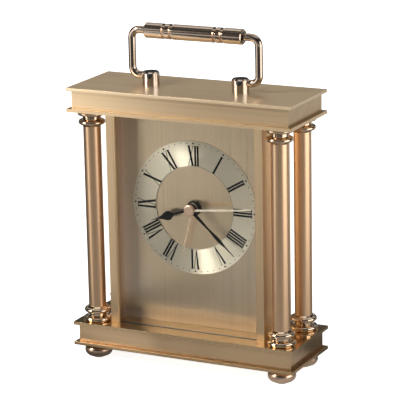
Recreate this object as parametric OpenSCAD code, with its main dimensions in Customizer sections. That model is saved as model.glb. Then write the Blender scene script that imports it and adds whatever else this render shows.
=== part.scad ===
// Carriage clock: plates, blocks, columns, bail handle, glazed case, dial and quartz alarm movement.
// Millimetres. Origin: centre of the footprint, on the surface it stands on. +Z up, front faces -Y.

/* [Overall] */
// width of the thin plates, along X
width = 140; // [120:1:165]
// depth of the thin plates, along Y
depth = 51; // [45:0.5:70]
// clear height between base and top
span_h = 125.5; // [100:0.5:160]

/* [Plates and blocks] */
// thickness of each thin plate
plate_t = 1.9; // [1.2:0.1:3]
// height of the base block and of the top block
block_h = 10.3; // [8:0.1:16]
// how far the blocks stand back from the plates' edges
block_inset = 2.4; // [1:0.1:5]

/* [Feet] */
// height from the floor to the base
foot_h = 8.6; // [6:0.1:14]
// thickness of the pad under each foot
pad_t = 0.8; // [0.4:0.1:2]

/* [Columns] */
// column axis, distance from the middle along X
column_x = 58.95; // [50:0.05:64]
// column axis, distance from the middle along Y
column_y = 15.6; // [12:0.05:20]
// radius of the plain shaft
shaft_r = 5.1; // [3.5:0.1:6]
// height of the turned base and of the capital
ring_h = 8.9; // [8.4:0.1:14]
// radius of the tie rods
rod_r = 1.5; // [1:0.1:2]

/* [Handle] */
// post axis, distance from the middle along X
post_x = 28.2; // [20:0.1:36]
// post radius
post_r = 5.0; // [4:0.05:7]
// post height
post_h = 7.9; // [6:0.1:12]
// height of the pivot line over the top plate
pivot_h = 5.4; // [4:0.1:7]
// height of the grip's axis over the top plate
grip_h = 31.5; // [24:0.5:45]
// radius of the bail wire
wire_r = 2.2; // [1.5:0.05:3]
// bail's upright wires, distance from the middle along X
wire_x = 39.8; // [32:0.1:50]
// bend radius of the wire's centre line
bend_r = 4.6; // [3:0.1:8]
// half length of the grip
grip_half = 30.5; // [22:0.5:34]
// radius of the grip
grip_r = 4.45; // [3.5:0.05:6]

/* [Case] */
// outer half width of the case
case_x = 49.1; // [45:0.1:52]
// thickness of the case's side wall
wall_t = 1.8; // [1.2:0.1:3]
// inner edge of the front flange, distance from the middle along X
flange_x = 44.0; // [40:0.1:47]
// front face of the flange
case_front = -17.5; // [-20:0.1:-14]
// rear edge of the side walls
case_rear = 20.0; // [18:0.1:22]
// thickness of the flange
flange_t = 2.4; // [1.5:0.1:3]
// thickness of the glass
glass_t = 2.4; // [2:0.1:3]

/* [Dial and hands] */
// height of the dial's centre over the base's top face
dial_up = 70.7; // [60:0.1:80]
// front face of the dial plate
dial_front = -3.1; // [-5:0.1:-2]
// thickness of the dial plate
dial_t = 1.0; // [0.6:0.1:1.5]
// outer radius of the chapter ring
chapter_ro = 39.3; // [30:0.1:43]
// inner radius of the chapter ring
chapter_ri = 24.45; // [18:0.05:30]
// hour hand, degrees clockwise from twelve
hour_at = 251.04; // [0:0.01:360]
// minute hand, degrees clockwise from twelve
minute_at = 132.5; // [0:0.01:360]
// second hand, degrees clockwise from twelve
second_at = 84; // [0:0.01:360]
// alarm hand, degrees clockwise from twelve
alarm_at = 194.5; // [0:0.01:360]

/* [Movement] */
// half width of the movement
move_x = 28; // [26:0.5:30]
// top of the movement over the dial's centre
move_up = 21; // [20:0.5:24]
// bottom of the movement below the dial's centre
move_down = 35; // [34.5:0.5:37]
// wall thickness of the movement's case
move_wall = 1.4; // [1:0.1:2]
// radial running clearance of shafts
run = 0.05; // [0.02:0.01:0.08]

/* [Hidden] */
$fn = 64;
z0 = foot_h;
z1 = z0 + plate_t;
z2 = z1 + block_h;
z3 = z2 + plate_t;
z4 = z3 + span_h;
z5 = z4 + plate_t;
z6 = z5 + block_h;
z7 = z6 + plate_t;
zc = z3 + dial_up;
zp = z7 + pivot_h;
zg = z7 + grip_h;
wall_in = case_x - wall_t;
glass_front = case_front + flange_t;
glass_back = glass_front + glass_t;
dial_back = dial_front + dial_t;
spacer_t = 1.0;
door_t = 1.6;
door_y = case_rear - 1.8;
hinge_x = -(wall_in - 1.9);
hinge_y = door_y + door_t / 2;
rod_hole = rod_r + 0.2;
thread_r = rod_r + 0.05;
// depths inside the movement, front to rear
washer_t = 0.5;
mf = dial_back + washer_t;
mi = mf + move_wall;
mr = mi + 13.4;
mc = mr + move_wall;
// train centres, X and Z from the dial's centre
P_min = [0, -9.6];
P_third = [9 * cos(30), 9 * sin(30)];
P_alarm = [9.45 * cos(150), 9.45 * sin(150)];
P_inter = [0, 6.6];
P_rotor = [P_inter[0] + 5.6 * cos(135), P_inter[1] + 5.6 * sin(135)];
// coaxial tubes: second, minute, hour, alarm
r_sec = 0.5;
r_min = 1.0;
r_hour = 1.55;
r_alarm = 2.1;
y_alarm = -6.0;
y_hour = -7.4;
y_minute = -8.7;
y_second = -10.1;
bay_top = -18.5;

// ---- helpers
module corners() for (sx = [-1, 1], sy = [-1, 1]) translate([sx * column_x, sy * column_y, 0]) children();
module slab(w, d, za, zb) translate([-w / 2, -d / 2, za]) cube([w, d, zb - za]);
module torus(R, r) rotate_extrude($fn = 96) translate([R, 0]) circle(r = r, $fn = 48);
// round bar along Y
module rod_y(r, ya, yb) translate([0, yb, 0]) rotate([90, 0, 0]) cylinder(r = r, h = yb - ya);
// round bar along X
module rod_x(r, xa, xb) translate([xa, 0, 0]) rotate([0, 90, 0]) cylinder(r = r, h = xb - xa);
// flat outline drawn in X and Z, from depth ya to yb
module flat_y(ya, yb) translate([0, yb, 0]) rotate([90, 0, 0]) linear_extrude(height = yb - ya) children();
// place on the dial's axis or at a train centre
module on(p = [0, 0]) translate([p[0], 0, zc + p[1]]) children();
// gear outline: n teeth, module m, a tooth pointing at angle a
function pol(r, a) = [r * cos(a), r * sin(a)];
function gear_pts(n, m, a) = [for (i = [0:n - 1], k = [0:5])
  let (c = a + i * 360 / n, s = 360 / n, r = n * m / 2)
  k == 0 ? pol(r - 1.15 * m, c - 0.29 * s) :
  k == 1 ? pol(r, c - 0.205 * s) :
  k == 2 ? pol(r + 0.8 * m, c - 0.085 * s) :
  k == 3 ? pol(r + 0.8 * m, c + 0.085 * s) :
  k == 4 ? pol(r, c + 0.205 * s) :
  pol(r - 1.15 * m, c + 0.29 * s)];
module gear(n, m, a, ya, yb) flat_y(ya, yb) polygon(gear_pts(n, m, a));

// ---- base
module foot_pads() color([0.32, 0.28, 0.24]) corners() cylinder(r = 3.3, h = pad_t);

module feet() color([0.78, 0.62, 0.44]) corners() difference() {
  union() {
    translate([0, 0, 4.6]) torus(4.55, 3.6);
    translate([0, 0, 1.25]) cylinder(r = 5.2, h = 6.7);
    translate([0, 0, 6.8]) cylinder(r = 6.4, h = foot_h - 6.8);
    translate([0, 0, pad_t]) cylinder(r = 3.7, h = 1.2);
  }
  translate([0, 0, 3.2]) cylinder(r = thread_r, h = foot_h);
}

module base_lower_plate() color([0.80, 0.68, 0.50]) difference() {
  slab(width, depth, z0, z1);
  corners() translate([0, 0, z0 - 1]) cylinder(r = rod_hole, h = plate_t + 2);
}

module base_block() color([0.80, 0.68, 0.50]) difference() {
  slab(width - 2 * block_inset, depth - 2 * block_inset, z1, z2);
  corners() translate([0, 0, z1 - 1]) cylinder(r = rod_hole, h = block_h + 2);
}

module base_upper_plate() color([0.80, 0.66, 0.48]) difference() {
  slab(width, depth, z2, z3);
  corners() translate([0, 0, z2 - 1]) cylinder(r = rod_hole, h = plate_t + 2);
  translate([hinge_x, hinge_y, z3 - 1.6]) cylinder(r = 0.86, h = 3);
}

// ---- columns
module ring_solid() difference() {
  union() {
    translate([0, 0, 1.35]) torus(6.9, 1.3);
    cylinder(r = 7.3, h = 2.5);
    translate([0, 0, 2.45]) cylinder(r1 = 6.0, r2 = 5.15, h = 0.75);
    translate([0, 0, 1.0]) cylinder(r = 5.2, h = 6.0);
    translate([0, 0, 4.6]) cylinder(r1 = 5.15, r2 = 6.0, h = 0.75);
    translate([0, 0, 6.55]) torus(6.4, 1.35);
    translate([0, 0, 5.28]) cylinder(r = 6.8, h = 2.54);
    translate([0, 0, 7.75]) cylinder(r1 = 6.3, r2 = 5.3, h = ring_h - 7.75);
  }
  translate([0, 0, -1]) cylinder(r = rod_hole, h = ring_h + 2);
}

module column_bases() color([0.80, 0.62, 0.44]) corners() translate([0, 0, z3]) ring_solid();

module column_capitals() color([0.80, 0.62, 0.44]) corners() translate([0, 0, z4]) mirror([0, 0, 1]) ring_solid();

module column_shafts() color([0.78, 0.62, 0.47]) corners() translate([0, 0, z3 + ring_h]) difference() {
  cylinder(r = shaft_r, h = span_h - 2 * ring_h);
  translate([0, 0, -1]) cylinder(r = rod_hole, h = span_h);
}

module tie_rods() color([0.70, 0.70, 0.70]) corners() translate([0, 0, 3.8]) cylinder(r = rod_r, h = z5 + 7.0 - 3.8);

// ---- top
module top_lower_plate() color([0.80, 0.68, 0.50]) difference() {
  slab(width, depth, z4, z5);
  corners() translate([0, 0, z4 - 1]) cylinder(r = rod_hole, h = plate_t + 2);
  translate([hinge_x, hinge_y, z4 - 1.4]) cylinder(r = 0.86, h = 3);
}

module top_block() color([0.80, 0.68, 0.50]) difference() {
  slab(width - 2 * block_inset, depth - 2 * block_inset, z5, z6);
  corners() translate([0, 0, z5 - 1]) cylinder(r = thread_r, h = 8.6);
  for (s = [-1, 1]) translate([s * post_x, 0, z5 - 1]) {
    cylinder(r = 1.7, h = block_h + 2);
    cylinder(r = 3.2, h = 5.6);
  }
}

module top_upper_plate() color([0.80, 0.68, 0.50]) difference() {
  slab(width, depth, z6, z7);
  for (s = [-1, 1]) translate([s * post_x, 0, z6 - 1]) cylinder(r = 1.7, h = plate_t + 2);
}

// ---- handle
module handle_posts() color([0.82, 0.66, 0.48]) for (s = [-1, 1]) translate([s * post_x, 0, z7]) difference() {
  union() {
    cylinder(r = post_r, h = post_h - 0.7);
    translate([0, 0, post_h - 0.7]) cylinder(r1 = post_r, r2 = post_r - 0.7, h = 0.7);
  }
  translate([0, 0, -1]) cylinder(r = thread_r, h = 7.0);
  translate([0, 0, pivot_h]) if (s > 0) rod_x(wire_r + 0.07, 2.2, 9); else rod_x(wire_r + 0.07, -9, -2.2);
}

module post_screws() color([0.65, 0.65, 0.66]) for (s = [-1, 1]) translate([s * post_x, 0, 0]) difference() {
  union() {
    translate([0, 0, z5 + 1.6]) cylinder(r = 2.7, h = 3.0);
    translate([0, 0, z5 + 2]) cylinder(r = rod_r, h = z7 + 5.4 - z5 - 2);
  }
  translate([0, 0, z5 + 1]) cylinder(r = 1.4, h = 2.2, $fn = 6);
}

module handle_bail() color([0.82, 0.66, 0.48]) {
  for (s = [0, 1]) mirror([s, 0, 0]) {
    translate([0, 0, zp]) rod_x(wire_r, post_x + 2.5, wire_x - bend_r);
    translate([wire_x - bend_r, 0, zp + bend_r]) rotate([90, 0, 0]) rotate([0, 0, -90])
      rotate_extrude(angle = 90) translate([bend_r, 0]) circle(r = wire_r);
    translate([wire_x, 0, zp + bend_r]) cylinder(r = wire_r, h = zg - zp - 2 * bend_r);
    translate([wire_x - bend_r, 0, zg - bend_r]) rotate([90, 0, 0])
      rotate_extrude(angle = 90) translate([bend_r, 0]) circle(r = wire_r);
  }
  translate([0, 0, zg]) rod_x(wire_r, -(wire_x - bend_r), wire_x - bend_r);
}

module handle_grip() color([0.82, 0.66, 0.48]) translate([0, 0, zg]) difference() {
  rotate([0, 90, 0]) union() {
    rotate_extrude() polygon([[0, -grip_half], [grip_r - 0.5, -grip_half], [grip_r, -grip_half + 0.5],
      [grip_r, -19.1], [grip_r - 0.95, -18.55], [grip_r - 0.95, -17.85], [grip_r, -17.3],
      [grip_r, -14.55], [grip_r - 0.95, -14.0], [grip_r - 0.95, -13.3], [grip_r, -12.75],
      [grip_r, 12.75], [grip_r - 0.95, 13.3], [grip_r - 0.95, 14.0], [grip_r, 14.55],
      [grip_r, 17.3], [grip_r - 0.95, 17.85], [grip_r - 0.95, 18.55], [grip_r, 19.1],
      [grip_r, grip_half - 0.5], [grip_r - 0.5, grip_half], [0, grip_half]]);
  }
  rod_x(wire_r + 0.05, -40, 40);
}

// ---- case
module side_channel() translate([0, 0, z3]) linear_extrude(height = span_h) polygon([
  [case_x, case_front], [case_x, case_rear], [wall_in, case_rear], [wall_in, glass_front],
  [flange_x, glass_front], [flange_x, case_front + 0.6], [flange_x + 0.6, case_front]]);

module case_side_right() color([0.82, 0.66, 0.46]) side_channel();

module case_side_left() color([0.82, 0.66, 0.46]) mirror([1, 0, 0]) side_channel();

module front_glass() color([0.85, 0.92, 0.92, 0.3]) translate([-(wall_in - 0.2), glass_front, z3 + 0.15])
  cube([2 * (wall_in - 0.2), glass_t, span_h - 0.3]);

module glass_spacers() color([0.36, 0.29, 0.25]) for (s = [0, 1]) mirror([s, 0, 0])
  translate([wall_in - spacer_t, glass_back, z3]) cube([spacer_t, dial_front - glass_back, span_h]);

module dial_plate() color([0.68, 0.60, 0.49]) difference() {
  translate([-(wall_in - 0.1), dial_front, z3 + 0.1]) cube([2 * (wall_in - 0.1), dial_t, span_h - 0.2]);
  on() rod_y(4.0, dial_front - 1, dial_back + 1);
}

module chapter_ring() color([0.78, 0.72, 0.60]) on() difference() {
  rod_y(chapter_ro, dial_front - 0.4, dial_front);
  rod_y(chapter_ri, dial_front - 1, dial_front + 1);
}

module dial_brackets() color([0.75, 0.75, 0.76]) for (s = [0, 1]) mirror([s, 0, 0])
  translate([wall_in - 2, dial_back, z3 + 10]) cube([2, 6, span_h - 20]);

// ---- hands
module hand_nut() color([0.06, 0.06, 0.06]) on() difference() {
  union() {
    rod_y(4.4, dial_front - 1.3, dial_front);
    rod_y(4.0, dial_front - 2.0, dial_front - 1);
  }
  rod_y(3.65, dial_front - 3, dial_front + 1);
  for (a = [0, 90]) rotate([0, a, 0]) translate([-6, dial_front - 2.6, -0.5]) cube([12, 1.2, 1.0]);
}

module cushion_washer() color([0.10, 0.10, 0.10]) on() difference() {
  rod_y(9, dial_back, mf);
  rod_y(3.7, dial_back - 1, mf + 1);
}

module hour_hand() color([0.05, 0.05, 0.05]) on() rotate([0, hour_at, 0]) difference() {
  union() {
    rod_y(3.5, y_hour, y_hour + 0.3);
    rod_y(2.4, y_hour, y_hour + 0.9);
    flat_y(y_hour, y_hour + 0.3) polygon([[-0.75, 0], [-0.62, 12.3], [-1.25, 12.7], [-1.25, 13.2], [-2.05, 13.9],
      [-2.62, 15.1], [-2.72, 16.3], [-2.40, 17.5], [-1.70, 18.9], [-0.95, 20.6], [-0.42, 22.6], [-0.14, 27.2],
      [0.14, 27.2], [0.42, 22.6], [0.95, 20.6], [1.70, 18.9], [2.40, 17.5], [2.72, 16.3], [2.62, 15.1],
      [2.05, 13.9], [1.25, 13.2], [1.25, 12.7], [0.62, 12.3], [0.75, 0]]);
  }
  rod_y(r_hour + 0.02, y_hour - 1, y_hour + 2);
}

module minute_hand() color([0.05, 0.05, 0.05]) on() rotate([0, minute_at, 0]) difference() {
  union() {
    rod_y(2.9, y_minute, y_minute + 0.3);
    rod_y(1.9, y_minute, y_minute + 0.9);
    flat_y(y_minute, y_minute + 0.3) polygon([[-0.95, 0], [-0.95, 6.2], [-0.78, 9.8], [-0.52, 14.5], [-0.55, 16.2],
      [-1.02, 21.5], [-1.12, 23.6], [-0.86, 26.6], [-0.40, 28.9], [-0.16, 36.7],
      [0.16, 36.7], [0.40, 28.9], [0.86, 26.6], [1.12, 23.6], [1.02, 21.5], [0.55, 16.2],
      [0.52, 14.5], [0.78, 9.8], [0.95, 6.2], [0.95, 0]]);
  }
  rod_y(r_min + 0.02, y_minute - 1, y_minute + 2);
}

module second_hand() color([0.86, 0.72, 0.54]) on() rotate([0, second_at, 0]) difference() {
  union() {
    flat_y(y_second, y_second + 0.25) polygon([[-0.60, 0], [-0.36, 38.9], [0.36, 38.9], [0.60, 0]]);
    rod_y(3.25, y_second - 0.5, y_second + 0.35);
    translate([0, y_second - 0.5, 0]) rotate([90, 0, 0]) cylinder(r1 = 3.25, r2 = 2.6, h = 0.35);
    rod_y(1.2, y_second, y_second + 0.9);
  }
  rod_y(r_sec + 0.02, y_second - 0.3, y_second + 2);
}

module alarm_hand() color([0.80, 0.62, 0.42]) on() rotate([0, alarm_at, 0]) difference() {
  union() {
    rod_y(3.3, y_alarm, y_alarm + 0.25);
    flat_y(y_alarm, y_alarm + 0.25) polygon([[-0.55, 0], [-0.45, 22], [-0.12, 27.6], [0.12, 27.6], [0.45, 22], [0.55, 0]]);
  }
  rod_y(r_alarm + 0.02, y_alarm - 1, y_alarm + 1);
}

// ---- movement
module movement_case() color([0.12, 0.12, 0.12]) difference() {
  union() {
    difference() {
      translate([-move_x, mf, zc - move_down]) cube([2 * move_x, mr - mf, move_up + move_down]);
      translate([-(move_x - move_wall), mi, zc + bay_top + 1.0])
        cube([2 * (move_x - move_wall), mr - mi + 1, move_up - move_wall - bay_top - 1.0]);
      translate([-(move_x - move_wall), mi, zc - move_down + move_wall])
        cube([2 * (move_x - move_wall), mr - mi + 1, move_down - move_wall + bay_top]);
    }
    on() rod_y(3.6, dial_front - 2.3, mf + 0.5);
    for (p = [[-22, -13], [-22, 10], [22, 9], [9.5, -15]]) on(p) rod_y(1.2, mi - 0.3, 7.0);
    for (p = [[-25.2, 17.5], [-25.2, -14.5], [-16, 17.5]]) on(p) rod_y(0.8, mi - 0.3, 11.5);
  }
  on() rod_y(r_alarm + run, dial_front - 4, mi + 1);
  on(P_min) rod_y(0.5 + run, mi - 0.8, mi + 1);
  on(P_third) rod_y(0.4 + run, mi - 0.8, mi + 1);
  on(P_alarm) rod_y(0.45 + run, mi - 0.8, mi + 1);
}

module movement_cover() color([0.14, 0.14, 0.14]) difference() {
  translate([-move_x, mr, zc + bay_top]) cube([2 * move_x, mc - mr, move_up - bay_top]);
  on(P_min) rod_y(0.9 + run, mr - 1, mc + 1);
  on(P_alarm) rod_y(0.8 + run, mr - 1, mc + 1);
  on() rod_y(r_sec + run, mr - 1, mr + 1);
  on(P_inter) rod_y(0.4 + run, mr - 1, mr + 0.9);
  on(P_rotor) rod_y(0.35 + run, mr - 1, mr + 0.9);
  translate([-23, mr - 1, zc + 6.8]) cube([6, 4, 2.4]);
}

module train_bridge() color([0.86, 0.86, 0.82]) difference() {
  union() {
    translate([-23.4, 7.0, zc - 17]) cube([46.4, 0.6, 29.5]);
    for (p = [[15, 10.5], [-7.9, 9.0]]) on(p) rod_y(0.8, 7.3, 11.0);
  }
  on() rod_y(1.5, 6, 8);
  on(P_min) rod_y(0.9 + run, 6, 8);
  on(P_alarm) rod_y(0.8 + run, 6, 8);
  on(P_third) rod_y(0.4 + run, 6, 8);
  on(P_inter) rod_y(0.4 + run, 6, 8);
  on(P_rotor) rod_y(0.35 + run, 6, 8);
}

module rotor() color([0.30, 0.30, 0.33]) on(P_rotor) {
  rod_y(0.35, 7.1, mr + 0.5);
  gear(8, 0.2, 315 + 22.5, 9.0, 10.1);
  rod_y(0.7, 10.0, 10.5);
  rod_y(2.4, 10.4, 12.4);
}

module intermediate_wheel() color([0.90, 0.90, 0.85]) on(P_inter) {
  rod_y(0.4, 7.1, mr + 0.6);
  gear(10, 0.22, 270 + 18, 7.85, 9.3);
  gear(48, 0.2, 135, 9.2, 9.9);
}

module second_wheel() color([0.90, 0.90, 0.85]) on() {
  rod_y(r_sec, y_second - 0.25, mr + 0.8);
  gear(8, 9 / 34, 30, 5.6, 6.7);
  rod_y(0.9, 6.6, 8.1);
  gear(50, 0.22, 90, 8.0, 8.7);
}

module third_wheel() color([0.90, 0.90, 0.85]) on(P_third) {
  rod_y(0.4, mi - 0.6, 7.5);
  rod_y(0.7, mi + 0.4, 4.3);
  gear(8, 0.25, 210, 4.2, 5.9);
  gear(60, 9 / 34, 210 + 3, 5.8, 6.5);
}

module centre_wheel() color([0.85, 0.70, 0.45]) on() difference() {
  union() {
    gear(64, 0.25, 30 + 180 / 64, 4.4, 5.1);
    rod_y(1.7, 4.2, 5.3);
  }
  rod_y(r_min + 0.03, 4, 6);
}

module cannon_pinion() color([0.85, 0.85, 0.80]) on() difference() {
  union() {
    rod_y(r_min, y_minute - 0.2, 5.4);
    gear(12, 0.4, -90, 2.8, 4.0);
  }
  rod_y(r_sec + run, y_minute - 1, 7);
}

module minute_wheel() color([0.90, 0.90, 0.85]) on(P_min) {
  rod_y(0.5, mi - 0.6, mi + 0.6);
  rod_y(0.9, mi + 0.5, 17.0);
  gear(10, 0.384, 90, 1.2, 2.6);
  gear(36, 0.4, 90 + 5, 3.0, 3.8);
  rod_y(1.4, 2.5, 3.1);
}

module hour_wheel() color([0.90, 0.90, 0.85]) on() difference() {
  union() {
    rod_y(r_hour, y_hour - 0.2, 2.4);
    gear(40, 0.384, -90 + 4.5, 1.4, 2.2);
  }
  rod_y(r_min + run, y_hour - 1, 4);
}

module alarm_wheel() color([0.90, 0.90, 0.85]) on() difference() {
  union() {
    rod_y(r_alarm, y_alarm - 0.2, 1.2);
    gear(40, 0.35, 150, 0.2, 1.0);
  }
  rod_y(r_hour + run, y_alarm - 1, 3);
}

module alarm_set_shaft() color([0.90, 0.90, 0.85]) on(P_alarm) {
  rod_y(0.45, mi - 0.6, mi + 0.4);
  rod_y(0.8, mi + 0.3, 17.0);
  gear(14, 0.35, 330 + 180 / 14, 0.1, 1.1);
}

module set_knob(bore) difference() {
  union() {
    rod_y(4.2, mc + 0.3, 17.6);
    for (a = [0:20:340]) rotate([0, a, 0]) translate([4.1, 0, 0]) rod_y(0.42, mc + 0.5, 17.4);
  }
  rod_y(bore, mc - 1, 17.2);
}

module time_set_knob() color([0.85, 0.85, 0.82]) on(P_min) set_knob(0.92);

module alarm_set_knob() color([0.75, 0.20, 0.16]) on(P_alarm) set_knob(0.82);

module alarm_switch() color([0.80, 0.80, 0.78]) translate([0, 0, zc]) {
  translate([-22.8, 12.8, 7.0]) cube([1.9, 3.0, 2.0]);
  translate([-24.0, 12.75, 5.9]) cube([4.3, 0.35, 4.2]);
  translate([-23.4, mc + 0.1, 6.3]) cube([3.1, 1.3, 3.4]);
  for (i = [0:2]) translate([-23.1 + i * 0.95, mc + 1.3, 6.3]) cube([0.6, 0.5, 3.4]);
}

module coil() color([0.72, 0.36, 0.16]) on([0, 16.3]) translate([0, 10.2, 0]) {
  rod_x(2.6, 4.4, 19.6);
  for (x = [4, 19.4]) rod_x(2.8, x, x + 0.6);
  translate([0.5, -0.8, -0.8]) cube([23, 1.6, 1.6]);
}

module stator() color([0.62, 0.62, 0.64]) difference() {
  union() {
    translate([-9, 11.0, zc + 7.5]) cube([33, 0.8, 5.5]);
    for (x = [0.5, 21]) translate([x, 11.0, zc + 12.5]) cube([2.5, 0.8, 5.5]);
  }
  on(P_rotor) rod_y(2.8, 10, 13);
}

module circuit_board() color([0.10, 0.30, 0.16]) {
  translate([-26.2, 11.5, zc - 16]) cube([12.2, 1.0, 35]);
}

module buzzer() color([0.20, 0.20, 0.20]) on([17, -5]) difference() {
  rod_y(8, mi, mi + 5);
  rod_y(1.2, mi + 3, mi + 6);
}

module battery() color([0.25, 0.42, 0.30]) translate([0, 7.2, zc - 25.95]) {
  rod_x(7.1, -24.5, 24.0);
  rod_x(2.7, 23.9, 25.4);
}

module battery_contacts() color([0.75, 0.75, 0.76]) translate([0, 7.2, zc - 25.95]) {
  translate([25.4, -4.5, -4]) cube([1.2, 9, 8]);
  translate([-26.6, -4.5, -4]) cube([0.7, 9, 8]);
  translate([-25.95, 0, 0]) rotate([0, 90, 0]) cylinder(r1 = 3.8, r2 = 2.4, h = 1.45);
}

// ---- rear door
module rear_door() color([0.80, 0.66, 0.48]) difference() {
  union() {
    translate([hinge_x, door_y, z3 + 0.5]) cube([wall_in - 0.4 - hinge_x, door_t, span_h - 1.0]);
    translate([hinge_x, hinge_y, z3 + 0.5]) cylinder(r = 1.6, h = span_h - 1.0);
  }
  translate([hinge_x, hinge_y, z3]) cylinder(r = 0.82, h = 7);
  translate([hinge_x, hinge_y, z4 - 7]) cylinder(r = 0.82, h = 8);
  translate([41, 0, zc]) rod_y(1.03, door_y - 1, door_y + 3);
  for (i = [-3:3]) translate([i * 5 - 1, door_y - 1, z3 + 12]) cube([2, 4, 14]);
}

module door_pivots() color([0.70, 0.70, 0.70]) {
  translate([hinge_x, hinge_y, z3 - 1.4]) cylinder(r = 0.8, h = 7.5);
  translate([hinge_x, hinge_y, z4 - 6.1]) cylinder(r = 0.8, h = 7.3);
}

module door_knob() color([0.82, 0.66, 0.48]) translate([41, 0, zc]) {
  rod_y(1.0, door_y + 0.2, door_y + door_t + 0.1);
  rod_y(1.5, door_y + door_t, door_y + door_t + 1.6);
  translate([0, door_y + door_t + 2.5, 0]) sphere(r = 2.2);
}

module door_magnet() color([0.25, 0.25, 0.27]) translate([wall_in - 4, door_y - 4.2, zc - 6]) cube([4, 4.0, 12]);

foot_pads();
feet();
base_lower_plate();
base_block();
base_upper_plate();
column_bases();
column_shafts();
column_capitals();
tie_rods();
top_lower_plate();
top_block();
top_upper_plate();
handle_posts();
post_screws();
handle_bail();
handle_grip();
case_side_left();
case_side_right();
front_glass();
glass_spacers();
dial_plate();
chapter_ring();
dial_brackets();
hand_nut();
cushion_washer();
hour_hand();
minute_hand();
second_hand();
alarm_hand();
movement_case();
movement_cover();
train_bridge();
rotor();
intermediate_wheel();
second_wheel();
third_wheel();
centre_wheel();
cannon_pinion();
minute_wheel();
hour_wheel();
alarm_wheel();
alarm_set_shaft();
time_set_knob();
alarm_set_knob();
alarm_switch();
coil();
stator();
circuit_board();
buzzer();
battery();
battery_contacts();
rear_door();
door_pivots();
door_knob();
door_magnet();
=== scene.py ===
import math

import bmesh
import bpy
from mathutils import Matrix, Vector


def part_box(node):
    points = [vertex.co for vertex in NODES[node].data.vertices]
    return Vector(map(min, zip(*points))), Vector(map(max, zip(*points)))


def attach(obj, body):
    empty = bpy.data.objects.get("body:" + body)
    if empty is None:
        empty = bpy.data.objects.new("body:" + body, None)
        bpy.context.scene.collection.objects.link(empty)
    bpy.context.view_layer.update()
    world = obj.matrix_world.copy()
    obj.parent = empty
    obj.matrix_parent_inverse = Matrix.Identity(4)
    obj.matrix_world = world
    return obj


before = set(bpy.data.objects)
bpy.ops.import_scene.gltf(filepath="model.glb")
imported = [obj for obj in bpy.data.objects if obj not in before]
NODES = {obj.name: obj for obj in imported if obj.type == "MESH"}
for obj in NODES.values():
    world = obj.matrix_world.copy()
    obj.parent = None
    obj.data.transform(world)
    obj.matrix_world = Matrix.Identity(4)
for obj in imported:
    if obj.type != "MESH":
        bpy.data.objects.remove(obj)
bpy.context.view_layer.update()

scene = bpy.context.scene

ring_lo, ring_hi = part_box("chapter_ring")
ZC = (ring_lo.z + ring_hi.z) / 2      # height of the dial's centre
RING_Y = ring_lo.y                    # front face of the chapter ring


# ------------------------------------------------------------------ node helpers
class Tree:
    def __init__(self, tree):
        self.tree = tree
        tree.nodes.clear()

    def node(self, kind, **props):
        n = self.tree.nodes.new(kind)
        for k, v in props.items():
            setattr(n, k, v)
        return n

    def put(self, socket, value):
        if isinstance(value, bpy.types.NodeSocket):
            self.tree.links.new(value, socket)
        else:
            socket.default_value = value

    def math(self, op, a, b=None, c=None, clamp=False):
        n = self.node("ShaderNodeMath", operation=op, use_clamp=clamp)
        for i, v in enumerate((a, b, c)):
            if v is not None:
                self.put(n.inputs[i], v)
        return n.outputs[0]

    def vec(self, op, a, b=None):
        n = self.node("ShaderNodeVectorMath", operation=op)
        self.put(n.inputs[0], a)
        if b is not None:
            self.put(n.inputs[1], b)
        return n.outputs["Value"] if op in ("DOT_PRODUCT", "LENGTH") else n.outputs["Vector"]

    def remap(self, v, a, b, c, d, smooth=False):
        n = self.node("ShaderNodeMapRange", interpolation_type="SMOOTHSTEP" if smooth else "LINEAR")
        self.put(n.inputs["Value"], v)
        for name, x in zip(("From Min", "From Max", "To Min", "To Max"), (a, b, c, d)):
            self.put(n.inputs[name], x)
        return n.outputs["Result"]

    def ramp(self, fac, stops, interp="LINEAR"):
        n = self.node("ShaderNodeValToRGB")
        n.color_ramp.interpolation = interp
        e = n.color_ramp.elements
        while len(e) < len(stops):
            e.new(0.5)
        for i, (p, c) in enumerate(stops):
            e[i].position = p
            e[i].color = (c[0], c[1], c[2], 1.0)
        self.put(n.inputs["Fac"], fac)
        return n.outputs["Color"]

    def coords(self):
        return self.node("ShaderNodeTexCoord").outputs["Object"]

    def stretch(self, v, scale, loc=(0, 0, 0)):
        n = self.node("ShaderNodeMapping")
        self.put(n.inputs["Vector"], v)
        n.inputs["Scale"].default_value = scale
        n.inputs["Location"].default_value = loc
        return n.outputs["Vector"]

    def noise(self, v, scale=1.0, detail=2.0, rough=0.5, distort=0.0):
        n = self.node("ShaderNodeTexNoise")
        self.put(n.inputs["Vector"], v)
        n.inputs["Scale"].default_value = scale
        n.inputs["Detail"].default_value = detail
        n.inputs["Roughness"].default_value = rough
        n.inputs["Distortion"].default_value = distort
        return n.outputs["Fac"]

    def mix(self, fac, a, b, kind="MIX"):
        n = self.node("ShaderNodeMix", data_type="RGBA", blend_type=kind)
        self.put(n.inputs["Factor"], fac)
        for s, v in ((n.inputs[6], a), (n.inputs[7], b)):
            if isinstance(v, bpy.types.NodeSocket):
                self.put(s, v)
            else:
                s.default_value = (v[0], v[1], v[2], 1.0)
        return n.outputs[2]

    def bump(self, height, strength, distance):
        n = self.node("ShaderNodeBump")
        self.put(n.inputs["Height"], height)
        n.inputs["Strength"].default_value = strength
        n.inputs["Distance"].default_value = distance
        return n.outputs["Normal"]


def surface(name):
    m = bpy.data.materials.new(name)
    m.use_nodes = True
    t = Tree(m.node_tree)
    out = t.node("ShaderNodeOutputMaterial")
    b = t.node("ShaderNodeBsdfPrincipled")
    t.tree.links.new(b.outputs["BSDF"], out.inputs["Surface"])
    return m, t, b


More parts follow.
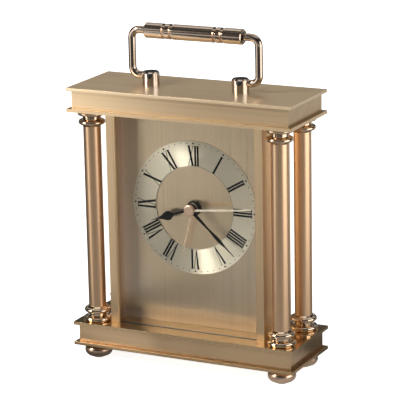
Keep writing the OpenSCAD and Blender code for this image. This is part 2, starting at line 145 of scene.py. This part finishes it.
def world_vector(t, v):
    n = t.node("ShaderNodeVectorTransform", vector_type="VECTOR", convert_from="OBJECT", convert_to="WORLD")
    t.put(n.inputs["Vector"], v)
    return n.outputs["Vector"]


def fixed_vector(t, v):
    n = t.node("ShaderNodeCombineXYZ")
    for i in range(3):
        n.inputs[i].default_value = v[i]
    return n.outputs["Vector"]


def spun_tangent(t):
    """Radial direction on the dial, from the dial's centre."""
    c = t.node("ShaderNodeSeparateXYZ")
    t.put(c.inputs[0], t.coords())
    n = t.node("ShaderNodeCombineXYZ")
    t.put(n.inputs[0], c.outputs["X"])
    t.put(n.inputs[2], t.math("SUBTRACT", c.outputs["Z"], ZC))
    n.inputs[1].default_value = 0.0
    return world_vector(t, n.outputs["Vector"])


def metal(name, light, dark, rough, spread=0.05, grain=(30, 3500, 3500), bump=0.05, aniso=0.0,
          across=None, coat=0.0, tone=0.5, ring=False, edge=None, pure=1.0, lining=None, wrap=False, hub=None):
    """Metal with drawn or brushed grain: grain gives the noise's counts per metre along X, Y and Z, and
    across is the direction in which the brushing blurs reflections (with wrap it is the axis of a round bar, and the
    blur goes around it). A plate's narrow sides take the roughness edge, and hub is a colour for the middle of a hand."""
    m, t, b = surface(name)
    co = t.coords()
    if ring:
        c = t.node("ShaderNodeSeparateXYZ")
        t.put(c.inputs[0], co)
        zz = t.math("SUBTRACT", c.outputs["Z"], ZC)
        r = t.math("SQRT", t.math("ADD", t.math("MULTIPLY", c.outputs["X"], c.outputs["X"]), t.math("MULTIPLY", zz, zz)))
        a = t.math("ARCTAN2", c.outputs["X"], zz)
        n = t.node("ShaderNodeCombineXYZ")
        t.put(n.inputs[0], r)
        t.put(n.inputs[1], a)
        co = n.outputs["Vector"]
    fine = t.noise(t.stretch(co, grain), 1.0, 2.0, 0.6)
    wide = t.noise(t.stretch(co, tuple(g * 0.22 for g in grain), (3.1, 1.7, 5.3)), 1.0, 2.0, 0.55)
    cloud = t.noise(t.coords(), 28.0, 3.0, 0.55)
    f = t.math("ADD", t.math("MULTIPLY", fine, 0.45), t.math("MULTIPLY", wide, 0.55))
    lines = t.remap(f, 0.32, 0.68, 0.0, 1.0)
    k = t.math("ADD", t.math("MULTIPLY", lines, 1.0 - tone), t.math("MULTIPLY", t.remap(cloud, 0.3, 0.7, 0.0, 1.0), tone))
    colour = t.ramp(k, [(0.0, dark), (1.0, light)])
    if lining:
        # blackened back of the front flanges, towards the glass
        c, n = t.node("ShaderNodeSeparateXYZ"), t.node("ShaderNodeSeparateXYZ")
        t.put(c.inputs[0], t.coords())
        t.put(n.inputs[0], t.node("ShaderNodeNewGeometry").outputs["Normal"])
        back = t.math("MULTIPLY", t.remap(n.outputs["Y"], 0.6, 0.8, 0.0, 1.0), t.math("LESS_THAN", c.outputs["Y"], lining))
        colour = t.mix(back, colour, (0.018, 0.016, 0.015))
    if hub:
        c = t.node("ShaderNodeSeparateXYZ")
        t.put(c.inputs[0], t.coords())
        zz = t.math("SUBTRACT", c.outputs["Z"], ZC)
        r = t.math("SQRT", t.math("ADD", t.math("MULTIPLY", c.outputs["X"], c.outputs["X"]), t.math("MULTIPLY", zz, zz)))
        middle = t.remap(r, 0.0032, 0.0036, 1.0, 0.0)
        colour = t.mix(middle, colour, hub)
        t.put(b.inputs["Metallic"], t.remap(middle, 0.0, 1.0, pure, 1.0))
    t.put(b.inputs["Base Color"], colour)
    gloss = t.remap(t.math("ADD", t.math("MULTIPLY", lines, 0.6), t.math("MULTIPLY", cloud, 0.4)), 0.0, 1.0, rough - spread, rough + spread)
    if edge:
        up = t.node("ShaderNodeSeparateXYZ")
        t.put(up.inputs[0], t.node("ShaderNodeNewGeometry").outputs["Normal"])
        gloss = t.math("ADD", gloss, t.remap(t.math("ABSOLUTE", up.outputs["Z"]), 0.55, 0.9, edge - rough, 0.0))
    t.put(b.inputs["Roughness"], gloss)
    if not hub:
        b.inputs["Metallic"].default_value = pure
    if bump:
        t.put(b.inputs["Normal"], t.bump(f, bump, 0.00004))
    if aniso:
        b.inputs["Anisotropic"].default_value = aniso
        if wrap:
            tangent = t.vec("CROSS_PRODUCT", t.node("ShaderNodeNewGeometry").outputs["Normal"], fixed_vector(t, across))
        else:
            tangent = spun_tangent(t) if ring else world_vector(t, fixed_vector(t, across))
        t.put(b.inputs["Tangent"], tangent)
    if coat:
        b.inputs["Coat Weight"].default_value = coat
        b.inputs["Coat Roughness"].default_value = 0.04
    return m


def plastic(name, light, dark, rough, grain=900.0, bump=0.12, coat=0.0, shine=0.5):
    m, t, b = surface(name)
    co = t.coords()
    n1 = t.noise(co, grain, 2.0, 0.6)
    n2 = t.noise(co, 60.0, 3.0, 0.55)
    t.put(b.inputs["Base Color"], t.ramp(t.math("ADD", t.math("MULTIPLY", n1, 0.4), t.math("MULTIPLY", n2, 0.6)),
                                         [(0.3, dark), (0.7, light)]))
    t.put(b.inputs["Roughness"], t.remap(n2, 0.25, 0.75, rough - 0.06, rough + 0.06))
    t.put(b.inputs["Normal"], t.bump(n1, bump, 0.00006))
    b.inputs["Specular IOR Level"].default_value = shine
    if coat:
        b.inputs["Coat Weight"].default_value = coat
        b.inputs["Coat Roughness"].default_value = 0.08
    return m


# ------------------------------------------------------------------ materials
GOLD = (0.92, 0.68, 0.41)
GOLD_D = (0.86, 0.62, 0.36)
LOW = (0.84, 0.60, 0.355)
LOW_D = (0.79, 0.56, 0.33)
ALONG_X = (0, 0.35, 1)

MAT = {
    "plate": metal("plate_lacquered", (0.80, 0.59, 0.36), (0.75, 0.545, 0.32), 0.20, 0.02, (6, 1100, 1100), 0.0, 0.6, ALONG_X, coat=0.15, tone=0.1, edge=0.32, pure=0.82),
    "plate_top": metal("plate_top", (0.985, 0.765, 0.50), (0.83, 0.635, 0.405), 0.40, 0.02, (5, 800, 800), 0.0, 0.6, ALONG_X, coat=0.6, tone=0.1, edge=0.34, pure=0.92),
    "plate_low": metal("plate_low", (0.70, 0.47, 0.26), (0.65, 0.43, 0.235), 0.15, 0.02, (6, 1100, 1100), 0.0, 0.6, ALONG_X, tone=0.1, edge=0.32),
    "block": metal("block_brushed", (0.87, 0.655, 0.415), (0.72, 0.535, 0.33), 0.32, 0.01, (5, 900, 900), 0.0, 0.75, ALONG_X, tone=0.05),
    "block_low": metal("block_low", (0.99, 0.715, 0.435), (0.85, 0.585, 0.345), 0.25, 0.01, (5, 900, 900), 0.0, 0.75, ALONG_X, tone=0.05),
    "floor_plate": metal("floor_polished", LOW, LOW_D, 0.13, 0.02, (6, 1100, 1100), 0.0, 0.4, ALONG_X, tone=0.2, edge=0.28),
    "polish": metal("mirror_gold", (0.83, 0.67, 0.505), (0.795, 0.635, 0.47), 0.05, 0.012, (60, 60, 2500), 0.0, tone=0.6),
    # painted shade: the capitals are a darker copy of the mirror gold of the column bases, for their place in shade
    # under the top plate
    "capital": metal("capital_gold_shaded", (0.76, 0.57, 0.41), (0.72, 0.54, 0.385), 0.07, 0.012, (60, 60, 2500), 0.0, tone=0.6),
    "post": metal("post_gold", (0.84, 0.74, 0.67), (0.80, 0.70, 0.635), 0.05, 0.012, (60, 60, 2500), 0.0, tone=0.6),
    "wire": metal("wire_gold", (0.57, 0.455, 0.365), (0.53, 0.42, 0.335), 0.12, 0.015, (2500, 200, 200), 0.0, tone=0.6),
    "grip": metal("grip_gold", (0.71, 0.565, 0.445), (0.67, 0.53, 0.42), 0.11, 0.005, (4, 300, 300), 0.0, 0.9, (1, 0, 0), tone=0.2, wrap=True),
    "foot": metal("foot_satin", (0.80, 0.58, 0.42), (0.74, 0.53, 0.38), 0.22, 0.02, (60, 60, 2500), 0.0, tone=0.5),
    "shaft": metal("column_satin", (0.83, 0.555, 0.345), (0.78, 0.52, 0.32), 0.33, 0.02, (1800, 1800, 18), 0.0, tone=0.3),
    # painted light and shade: one gold for both case sides, as a lighter copy for the right side and a darker copy for
    # the left side
    "case": metal("case_gold", (0.99, 0.745, 0.46), (0.945, 0.685, 0.41), 0.33, 0.03, (1800, 1800, 16), 0.0, 0.88, (1, 1, 0), tone=0.2, lining=-0.012),
    "case_left_shaded": metal("case_gold_left_shaded", (0.885, 0.655, 0.405), (0.835, 0.60, 0.36), 0.33, 0.03, (1800, 1800, 16), 0.0, 0.88, (1, 1, 0), tone=0.2, lining=-0.012),
    "door": metal("door_brushed", GOLD, GOLD_D, 0.30, 0.05, (2400, 2400, 22), 0.0, 0.6, (1, 0, 0), tone=0.25),
    "spacer": metal("spacer_brown", (0.86, 0.63, 0.46), (0.70, 0.50, 0.36), 0.38, 0.05, (2200, 2200, 24), 0.05, tone=0.3),
    "dial": metal("dial_brushed", (0.90, 0.71, 0.495), (0.785, 0.615, 0.42), 0.29, 0.03, (2300, 2300, 6), 0.0, 0.95, (1, 0, 0), tone=0.1, pure=0.96),
    "chapter": metal("chapter_spun", (0.94, 0.85, 0.67), (0.91, 0.82, 0.64), 0.37, 0.03, (1800, 1.5, 1), 0.0, 0.97, tone=0.05, ring=True, pure=0.90),
    "hand_gold": metal("hand_gold", (0.95, 0.82, 0.66), (0.90, 0.76, 0.60), 0.42, 0.03, (900, 900, 900), 0.01, tone=0.4, pure=0.3, hub=(0.80, 0.58, 0.43)),
    "hand_brown": metal("hand_brown", (0.74, 0.55, 0.39), (0.66, 0.48, 0.33), 0.40, 0.03, (900, 900, 900), 0.01, tone=0.4, pure=0.35),
    "steel": metal("steel_plain", (0.66, 0.66, 0.67), (0.58, 0.58, 0.59), 0.30, 0.03, (1500, 1500, 30), 0.0, tone=0.2),
    "magnet": metal("magnet_dark", (0.22, 0.22, 0.23), (0.14, 0.14, 0.15), 0.45, 0.06, (900, 900, 900), 0.10, tone=0.5),
    "black": plastic("moulded_black", (0.045, 0.045, 0.047), (0.028, 0.028, 0.030), 0.42),
    "white": plastic("moulded_white", (0.84, 0.83, 0.79), (0.74, 0.73, 0.68), 0.40),
    "red": plastic("moulded_red", (0.58, 0.09, 0.07), (0.44, 0.055, 0.045), 0.32, coat=0.2),
    "rubber": plastic("rubber_black", (0.06, 0.06, 0.06), (0.035, 0.035, 0.035), 0.62, 1400.0, 0.25),
    "hand_black": plastic("hand_black", (0.012, 0.011, 0.011), (0.006, 0.006, 0.006), 0.34, 1200.0, 0.02, shine=0.15),
    "nut": plastic("nut_black", (0.018, 0.018, 0.018), (0.010, 0.010, 0.010), 0.24, 1200.0, 0.03, shine=0.4),
    "ink": plastic("dial_ink", (0.010, 0.009, 0.009), (0.005, 0.005, 0.005), 0.55, 2500.0, 0.02, shine=0.12),
}


def glass():
    m, t, b = surface("clear_glass")
    n = t.noise(t.coords(), 45.0, 3.0, 0.6)
    side = t.node("ShaderNodeSeparateXYZ")
    t.put(side.inputs[0], t.node("ShaderNodeNewGeometry").outputs["Normal"])
    ground = t.remap(t.math("ABSOLUTE", side.outputs["Y"]), 0.4, 0.9, 1.0, 0.0)      # the four narrow sides
    clear = t.ramp(n, [(0.3, (0.955, 0.975, 0.965)), (0.7, (0.975, 0.985, 0.98))])
    # painted shade: the narrow sides get a near-black colour and no transmission, standing in for the dark shade line
    # along the glass's foot; their added roughness is the ground edge
    t.put(b.inputs["Base Color"], t.mix(ground, clear, (0.03, 0.04, 0.035)))
    t.put(b.inputs["Roughness"], t.math("ADD", t.remap(n, 0.3, 0.7, 0.0, 0.012), t.math("MULTIPLY", ground, 0.3)))
    b.inputs["Transmission Weight"].default_value = 1.0
    t.put(b.inputs["Transmission Weight"], t.math("SUBTRACT", 1.0, ground))
    b.inputs["IOR"].default_value = 1.5
    return m


def felt():
    m, t, b = surface("felt")
    co = t.coords()
    n = t.noise(co, 2600.0, 4.0, 0.7)
    w = t.noise(co, 300.0, 3.0, 0.6)
    t.put(b.inputs["Base Color"], t.ramp(t.math("ADD", t.math("MULTIPLY", n, 0.5), t.math("MULTIPLY", w, 0.5)),
                                         [(0.3, (0.20, 0.165, 0.13)), (0.7, (0.36, 0.30, 0.245))]))
    t.put(b.inputs["Roughness"], t.remap(n, 0.3, 0.7, 0.85, 0.98))
    b.inputs["Sheen Weight"].default_value = 0.3
    t.put(b.inputs["Normal"], t.bump(n, 0.6, 0.0002))
    return m


def copper_coil():
    m, t, b = surface("copper_windings")
    c = t.node("ShaderNodeSeparateXYZ")
    t.put(c.inputs[0], t.coords())
    turn = t.math("SINE", t.math("MULTIPLY", c.outputs["X"], 2 * math.pi / 0.00035))
    n = t.noise(t.coords(), 400.0, 2.0, 0.5)
    k = t.math("ADD", t.remap(turn, -1, 1, 0.0, 0.6), t.math("MULTIPLY", n, 0.4))
    t.put(b.inputs["Base Color"], t.ramp(k, [(0.1, (0.30, 0.11, 0.045)), (0.9, (0.66, 0.30, 0.13))]))
    t.put(b.inputs["Roughness"], t.remap(n, 0.2, 0.8, 0.22, 0.36))
    b.inputs["Metallic"].default_value = 1.0
    t.put(b.inputs["Normal"], t.bump(turn, 0.5, 0.00006))
    return m


def board():
    m, t, b = surface("circuit_board")
    co = t.coords()
    c = t.node("ShaderNodeSeparateXYZ")
    t.put(c.inputs[0], co)
    n = t.noise(co, 350.0, 2.0, 0.5, 0.6)
    track = t.math("PINGPONG", t.math("ADD", c.outputs["X"], t.math("MULTIPLY", n, 0.004)), 0.0011)
    line = t.remap(track, 0.00035, 0.00055, 0.0, 1.0, True)
    t.put(b.inputs["Base Color"], t.mix(line, (0.035, 0.17, 0.07), (0.06, 0.30, 0.13)))
    t.put(b.inputs["Roughness"], t.remap(n, 0.2, 0.8, 0.26, 0.42))
    t.put(b.inputs["Normal"], t.bump(line, 0.3, 0.00004))
    return m


def cell():
    """Plain cell: dark sleeve, bright end cap and one plain band."""
    m, t, b = surface("cell_sleeve")
    lo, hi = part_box("battery")
    c = t.node("ShaderNodeSeparateXYZ")
    t.put(c.inputs[0], t.coords())
    k = t.remap(c.outputs["X"], lo.x, hi.x, 0.0, 1.0)
    n = t.noise(t.coords(), 500.0, 2.0, 0.5)
    band = t.ramp(k, [(0.0, (0.50, 0.50, 0.50)), (0.02, (0.025, 0.07, 0.045)), (0.70, (0.70, 0.50, 0.26)), (0.955, (0.60, 0.60, 0.60))], "CONSTANT")
    t.put(b.inputs["Base Color"], t.mix(t.remap(n, 0.3, 0.7, 0.0, 0.25), band, (0.02, 0.03, 0.025)))
    t.put(b.inputs["Roughness"], t.remap(n, 0.2, 0.8, 0.20, 0.32))
    b.inputs["Metallic"].default_value = 0.6
    return m


MAT["glass"] = glass()
MAT["felt"] = felt()
MAT["copper"] = copper_coil()
MAT["board"] = board()
MAT["cell"] = cell()

USE = {
    "foot_pads": "felt", "feet": "foot", "base_lower_plate": "plate_low", "base_block": "block_low", "base_upper_plate": "floor_plate",
    "column_bases": "polish", "column_shafts": "shaft", "column_capitals": "capital", "tie_rods": "steel",
    "top_lower_plate": "plate", "top_block": "block", "top_upper_plate": "plate_top",
    "handle_posts": "post", "post_screws": "steel", "handle_bail": "wire", "handle_grip": "grip",
    "case_side_left": "case_left_shaded", "case_side_right": "case", "front_glass": "glass", "glass_spacers": "spacer",
    "dial_plate": "dial", "chapter_ring": "chapter", "dial_brackets": "steel", "hand_nut": "nut", "cushion_washer": "rubber",
    "hour_hand": "hand_black", "minute_hand": "hand_black", "second_hand": "hand_gold", "alarm_hand": "hand_brown",
    "movement_case": "black", "movement_cover": "black", "train_bridge": "white", "rotor": "magnet",
    "intermediate_wheel": "white", "second_wheel": "white", "third_wheel": "white", "centre_wheel": "hand_brown",
    "cannon_pinion": "white", "minute_wheel": "white", "hour_wheel": "white", "alarm_wheel": "white",
    "alarm_set_shaft": "white", "time_set_knob": "white", "alarm_set_knob": "red", "alarm_switch": "white",
    "coil": "copper", "stator": "steel", "circuit_board": "board", "buzzer": "black", "battery": "cell",
    "battery_contacts": "steel", "rear_door": "door", "door_pivots": "steel", "door_knob": "polish", "door_magnet": "magnet",
}
for name, key in USE.items():
    o = NODES[name]
    if len(o.material_slots) == 0:
        o.data.materials.append(MAT[key])
    for s in o.material_slots:
        s.material = MAT[key]

# softened edges on the flat pieces
EDGE = {
    "base_lower_plate": 0.00022, "base_upper_plate": 0.00022, "top_lower_plate": 0.00022, "top_upper_plate": 0.00022,
    "base_block": 0.00025, "top_block": 0.00025, "case_side_left": 0.0001, "case_side_right": 0.0001,
    "rear_door": 0.00025, "movement_case": 0.0003, "movement_cover": 0.0003,
}
for name, w in EDGE.items():
    o = NODES[name]
    weld = o.modifiers.new("join", "WELD")
    weld.merge_threshold = 1e-6
    bev = o.modifiers.new("edge", "BEVEL")
    bev.width = w
    bev.segments = 2
    bev.limit_method = "ANGLE"
    bev.angle_limit = math.radians(40)
    bev.harden_normals = False
    o.modifiers.new("normals", "WEIGHTED_NORMAL").weight = 80

NODES["front_glass"].visible_shadow = False


# ------------------------------------------------------------------ printed dial, with a painted shade line at the ring's inner edge
INK_T = 0.00003


def prism(bm, pts, angle, y0, y1):
    """Closed thin plate from an outline given as (along the circle, outward) in millimetres, at a clock angle."""
    ca, sa = math.cos(angle), math.sin(angle)
    rings = []
    for y in (y0, y1):
        rings.append([bm.verts.new(((u * ca + v * sa) / 1000, y, ZC + (-u * sa + v * ca) / 1000)) for u, v in pts])
    n = len(pts)
    bm.faces.new(rings[0])
    bm.faces.new(list(reversed(rings[1])))
    for i in range(n):
        j = (i + 1) % n
        bm.faces.new((rings[0][j], rings[0][i], rings[1][i], rings[1][j]))


R0, R1 = 24.75, 36.45      # foot and head of the numerals
SER = 0.17                 # serif thickness
THICK = 1.18
THIN = 0.34
PITCH = 1.62
V_W, X_W = 3.7, 4.0


def bar(u0):
    t, s = THICK / 2, THICK / 2 + 0.36
    return [[(u0 - s, R0), (u0 + s, R0), (u0 + s, R0 + SER), (u0 + t, R0 + SER + 0.28), (u0 + t, R1 - SER - 0.28),
             (u0 + s, R1 - SER), (u0 + s, R1), (u0 - s, R1), (u0 - s, R1 - SER), (u0 - t, R1 - SER - 0.28),
             (u0 - t, R0 + SER + 0.28), (u0 - s, R0 + SER)]]


def serif(u, r, half=0.62):
    return [(u - half, r), (u + half, r), (u + half, r + SER), (u - half, r + SER)]


def letter_v(u0):
    a, h = V_W / 2, R1 - R0
    thick = [(u0 - a + 0.1, R1), (u0 - a + 0.1 + THICK * 1.1, R1), (u0 + 0.34, R0 + 1.3), (u0 + 0.18, R0), (u0 - 0.18, R0)]
    thin = [(u0 + a - 0.55, R1), (u0 + a - 0.55 + THIN, R1), (u0 + 0.22, R0 + 0.2), (u0 + 0.02, R0 + 1.0)]
    return [thick, thin, serif(u0 - a + 0.1 + THICK * 0.55, R1 - SER, 0.98), serif(u0 + a - 0.42, R1 - SER)]


def letter_x(u0):
    a = X_W / 2
    w = THICK * 1.12
    thick = [(u0 - a + 0.15, R1), (u0 - a + 0.15 + w, R1), (u0 + a - 0.15, R0), (u0 + a - 0.15 - w, R0)]
    thin = [(u0 + a - 0.62, R1), (u0 + a - 0.62 + THIN, R1), (u0 - a + 0.62, R0), (u0 - a + 0.62 - THIN, R0)]
    return [thick, thin, serif(u0 - a + 0.15 + w / 2, R1 - SER, 0.98), serif(u0 + a - 0.5, R1 - SER),
            serif(u0 + a - 0.15 - w / 2, R0, 0.98), serif(u0 - a + 0.5, R0)]


NUMERALS = ["XII", "I", "II", "III", "IIII", "V", "VI", "VII", "VIII", "IX", "X", "XI"]


def printed_dial_and_edge_shade():
    bm = bmesh.new()
    front, back = RING_Y - INK_T, RING_Y + 0.00002
    for h, text in enumerate(NUMERALS):
        widths = [{"I": PITCH, "V": V_W + 0.15, "X": X_W + 0.1}[c] for c in text]
        at = -sum(widths) / 2
        for c, w in zip(text, widths):
            u = at + w / 2
            for i, pts in enumerate({"I": bar, "V": letter_v, "X": letter_x}[c](u)):
                prism(bm, pts, math.radians(30 * h), front - i * 0.000004, back)
            at += w
    for i in range(60):
        big = i % 5 == 0
        r = 0.56 if big else 0.33
        n = 8 if big else 6
        pts = [(r * math.cos(2 * math.pi * k / n + math.pi / n), 37.85 + r * math.sin(2 * math.pi * k / n + math.pi / n)) for k in range(n)]
        prism(bm, pts, math.radians(6 * i), front, back)
    # painted shade: a fine black line at the ring's inner edge, standing in for the shade along the ring's step
    for ra, rb in ((24.50, 24.62),):
        n = 180
        quads = []
        for k in range(n):
            a = 2 * math.pi * k / n
            s, c = math.sin(a), math.cos(a)
            quads.append([bm.verts.new((r * s / 1000, y, ZC + r * c / 1000)) for r, y in ((ra, front), (rb, front), (rb, back), (ra, back))])
        for k in range(n):
            p, q = quads[k], quads[(k + 1) % n]
            for e in range(4):
                f = (e + 1) % 4
                bm.faces.new((p[e], p[f], q[f], q[e]))
    bmesh.ops.recalc_face_normals(bm, faces=bm.faces)
    me = bpy.data.meshes.new("dial_print_and_edge_shade")
    bm.to_mesh(me)
    bm.free()
    o = bpy.data.objects.new("dial_print_and_edge_shade", me)
    scene.collection.objects.link(o)
    me.materials.append(MAT["ink"])
    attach(o, "clock_body")
    return o


printed_dial_and_edge_shade()


# ------------------------------------------------------------------ stage
def disc(name, radius, z):
    bm = bmesh.new()
    n = 96
    bm.faces.new([bm.verts.new((radius * math.cos(2 * math.pi * k / n), radius * math.sin(2 * math.pi * k / n), z)) for k in range(n)])
    me = bpy.data.meshes.new(name)
    bm.to_mesh(me)
    bm.free()
    o = bpy.data.objects.new(name, me)
    scene.collection.objects.link(o)
    return o


def floor():
    o = disc("floor", 4.0, -0.00002)
    m, t, b = surface("floor_pale")
    k = t.noise(t.coords(), 6.0, 3.0, 0.5)
    t.put(b.inputs["Base Color"], t.ramp(k, [(0.3, (0.93, 0.93, 0.93)), (0.7, (0.95, 0.95, 0.95))]))
    b.inputs["Roughness"].default_value = 0.9
    b.inputs["Emission Color"].default_value = (1, 1, 1, 1)
    b.inputs["Emission Strength"].default_value = 0.88
    o.data.materials.append(m)
    o.visible_glossy = False
    o.visible_transmission = False
    o.visible_shadow = False


class Sky:
    """Soft windows in compass angle (0 is in front of the dial, positive to the right) and a second measure."""

    def __init__(self, t, x, y):
        self.t = t
        self.az = t.math("MULTIPLY", t.math("ARCTAN2", x, t.math("MULTIPLY", y, -1.0)), 180 / math.pi)

    def window(self, v, lo, hi, soft_lo, soft_hi):
        t = self.t
        up = t.remap(v, lo - soft_lo, lo + soft_lo, 0.0, 1.0, True)
        down = t.remap(v, hi - soft_hi, hi + soft_hi, 1.0, 0.0, True)
        return t.math("MULTIPLY", up, down)

    def around(self, az, half, soft):
        d = self.t.math("ABSOLUTE", self.t.math("WRAP", self.t.math("SUBTRACT", self.az, az), 180.0, -180.0))
        return self.t.remap(d, half - soft, half + soft, 1.0, 0.0, True)

    def total(self, base, parts):
        t = self.t
        out = base
        for level, factors in parts:
            f = t.math("MULTIPLY", factors[0], level)
            for g in factors[1:]:
                f = t.math("MULTIPLY", f, g)
            out = t.math("ADD", out, f)
        return out


def table():
    """The lit table top as the polished metal mirrors it."""
    o = disc("table_glow", 2.0, -0.0004)
    m = bpy.data.materials.new("table_glow")
    m.use_nodes = True
    t = Tree(m.node_tree)
    s = t.node("ShaderNodeSeparateXYZ")
    t.put(s.inputs[0], t.coords())
    x, y, z = s.outputs
    r = t.math("SQRT", t.math("ADD", t.math("MULTIPLY", x, x), t.math("MULTIPLY", y, y)))
    k = Sky(t, x, y)
    level = k.total(0.035, (
        (0.06, (k.around(-5, 85, 25), t.remap(r, 0.30, 0.70, 1.0, 0.0, True))),              # near the front
        (0.19, (k.around(32, 36, 14), t.remap(r, 0.50, 0.80, 1.0, 0.0, True))),              # front right
        (0.17, (k.around(-20, 12, 10), t.remap(r, 0.10, 0.18, 1.0, 0.0, True))),             # close to the foot
        (1.5, (k.around(-44, 11, 4), t.math("ADD", t.math("ADD", t.remap(r, 0.122, 0.138, 0.185, 0.03, True), t.remap(r, 0.14, 0.19, 0.0, 0.47, True)),
                                           t.remap(r, 0.20, 0.60, 0.0, 0.5, True)))),         # under the left strip
        (0.35, (k.around(-13, 6, 3), k.window(r, 0.15, 0.75, 0.05, 0.15))),                  # a card beside it
        (2.20, (k.around(88, 25, 5), t.remap(r, 0.10, 0.80, 0.12, 1.0, True))),               # under the right box
        (0.38, (k.around(180, 45, 20), t.remap(r, 0.05, 0.3, 0.35, 1.0, True))),             # behind
        (0.40, (k.around(-30, 9, 4), k.window(r, 0.85, 3.0, 0.15, 0.5))),                    # far front left
        (0.50, (t.remap(r, 1.1, 1.5, 0.0, 1.0, True),)),                                     # far edge
    ))
    e = t.node("ShaderNodeEmission")
    t.put(e.inputs["Strength"], level)
    e.inputs["Color"].default_value = (1.0, 0.985, 0.96, 1)
    out = t.node("ShaderNodeOutputMaterial")
    t.tree.links.new(e.outputs[0], out.inputs["Surface"])
    o.data.materials.append(m)
    o.visible_camera = False
    o.visible_diffuse = False
    o.visible_shadow = False


floor()
table()


def studio():
    w = bpy.data.worlds.new("studio")
    scene.world = w
    w.use_nodes = True
    t = Tree(w.node_tree)
    s = t.node("ShaderNodeSeparateXYZ")
    t.put(s.inputs[0], t.node("ShaderNodeTexCoord").outputs["Generated"])
    x, y, z = s.outputs
    el = t.math("MULTIPLY", t.math("ARCSINE", t.math("MINIMUM", t.math("MAXIMUM", z, -1.0), 1.0)), 180 / math.pi)
    k = Sky(t, x, y)
    level = k.total(0.04, (
        (0.40, (k.window(el, -60, 2.5, 5, 2),)),                                             # haze on the horizon
        (1.55, (k.around(-46, 16, 3), k.window(el, -40, 26, 5, 4))),                         # left box
        (39.0, (k.around(-47, 8, 2), k.window(el, 28, 38, 2, 2))),                           # its lamp
        (2.10, (k.around(89, 26, 5), k.window(el, -40, 26, 5, 6))),                          # right box
        (0.50, (k.around(-160, 40, 20), k.window(el, -40, 8, 5, 3))),                        # behind
        (0.55, (k.around(-160, 40, 20), k.window(el, 24, 40, 4, 5))),                        # behind, higher
        (0.90, (k.around(180, 75, 20), k.window(el, 48, 78, 8, 8))),                         # above, behind
        (0.80, (k.around(15, 60, 20), k.window(el, 56, 80, 5, 6))),                          # above, in front
    ))
    env = t.node("ShaderNodeBackground")
    t.put(env.inputs["Strength"], level)
    env.inputs["Color"].default_value = (1.0, 0.985, 0.96, 1)
    white = t.node("ShaderNodeBackground")
    white.inputs["Color"].default_value = (1, 1, 1, 1)
    white.inputs["Strength"].default_value = 1.05
    path = t.node("ShaderNodeLightPath")
    mix = t.node("ShaderNodeMixShader")
    t.put(mix.inputs[0], path.outputs["Is Camera Ray"])
    t.tree.links.new(env.outputs[0], mix.inputs[1])
    t.tree.links.new(white.outputs[0], mix.inputs[2])
    out = t.node("ShaderNodeOutputWorld")
    t.tree.links.new(mix.outputs[0], out.inputs["Surface"])


studio()


# ------------------------------------------------------------------ camera
def camera():
    az, el, roll = math.radians(26.507), math.radians(14.889), math.radians(-1.099)
    dist, focal = 1.24825, 2180.06
    target = Vector((0.001536, 0.0, 0.097147))
    back = Vector((math.sin(az) * math.cos(el), -math.cos(az) * math.cos(el), math.sin(el)))
    right = (-back).cross(Vector((0, 0, 1))).normalized()
    up = right.cross(-back)
    r2 = math.cos(roll) * right + math.sin(roll) * up
    u2 = -math.sin(roll) * right + math.cos(roll) * up
    cam = bpy.data.cameras.new("camera")
    cam.sensor_width = 36.0
    cam.sensor_fit = "HORIZONTAL"
    cam.lens = focal / 400 * 36.0
    cam.clip_start, cam.clip_end = 0.05, 20.0
    o = bpy.data.objects.new("camera", cam)
    scene.collection.objects.link(o)
    m = Matrix((r2, u2, back)).transposed().to_4x4()
    m.translation = target + back * dist
    o.matrix_world = m
    scene.camera = o


camera()
scene.view_settings.view_transform = "Standard"
scene.view_settings.look = "None"
scene.view_settings.exposure = 0.0
scene.view_settings.gamma = 1.0
